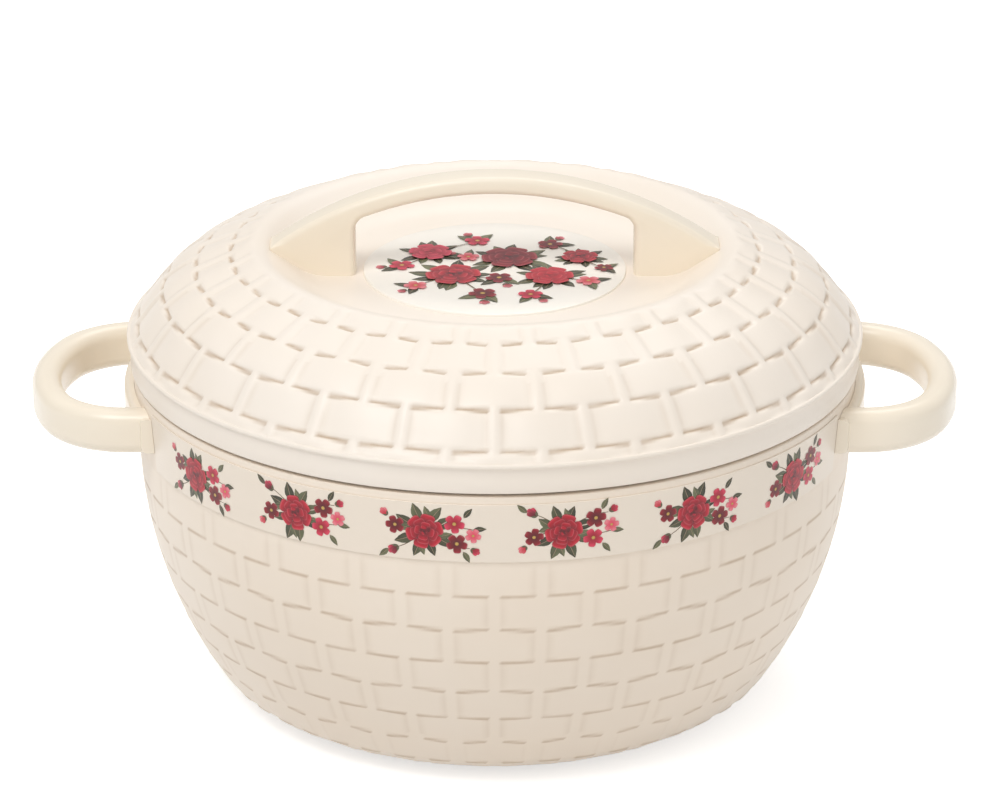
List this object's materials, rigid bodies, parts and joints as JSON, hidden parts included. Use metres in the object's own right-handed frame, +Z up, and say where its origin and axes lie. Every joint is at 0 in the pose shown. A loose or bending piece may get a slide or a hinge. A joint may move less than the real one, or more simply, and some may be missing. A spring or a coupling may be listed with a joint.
{
  "type": "insulated casserole",
  "caption": "Round double-walled insulated casserole with a steel bowl, loop side handles and a lift-off woven-look lid with an arch handle over a round well.",
  "frame": {"origin": "middle of the foot ring's resting plane", "axes": "+Z up, the two side handles lie along X, the arch handle runs along X"},
  "size_m": [0.316, 0.25, 0.1817],
  "materials": {
    "woven_ivory": "satin",
    "plain_ivory": "satin",
    "handle_ivory": "gloss",
    "printed_film": "satin",
    "bowl_steel": "satin",
    "screw_steel": "satin",
    "insulation_foam": "matte"
  },
  "bodies": {
    "body": {"outer_shell": "woven_ivory", "inner_bowl": "bowl_steel", "rim_ring": "plain_ivory", "body_insulation": "insulation_foam", "base_plug": "plain_ivory", "handle_left": "handle_ivory", "handle_right": "handle_ivory", "handle_screws_left": "screw_steel", "handle_screws_right": "screw_steel", "label_front": "printed_film", "label_back": "printed_film"},
    "lid": {"lid_shell": "woven_ivory", "lid_cover": "plain_ivory", "lid_insulation": "insulation_foam", "lid_plug": "plain_ivory", "lid_disc": "printed_film", "lid_handle": "handle_ivory", "lid_handle_screws": "screw_steel"}
  },
  "joints": [
    {"name": "lid_lift", "type": "slide", "parent": "body", "child": "lid", "axis": [0, 0, 1], "range_m": [0, 0.06]}
  ]
}
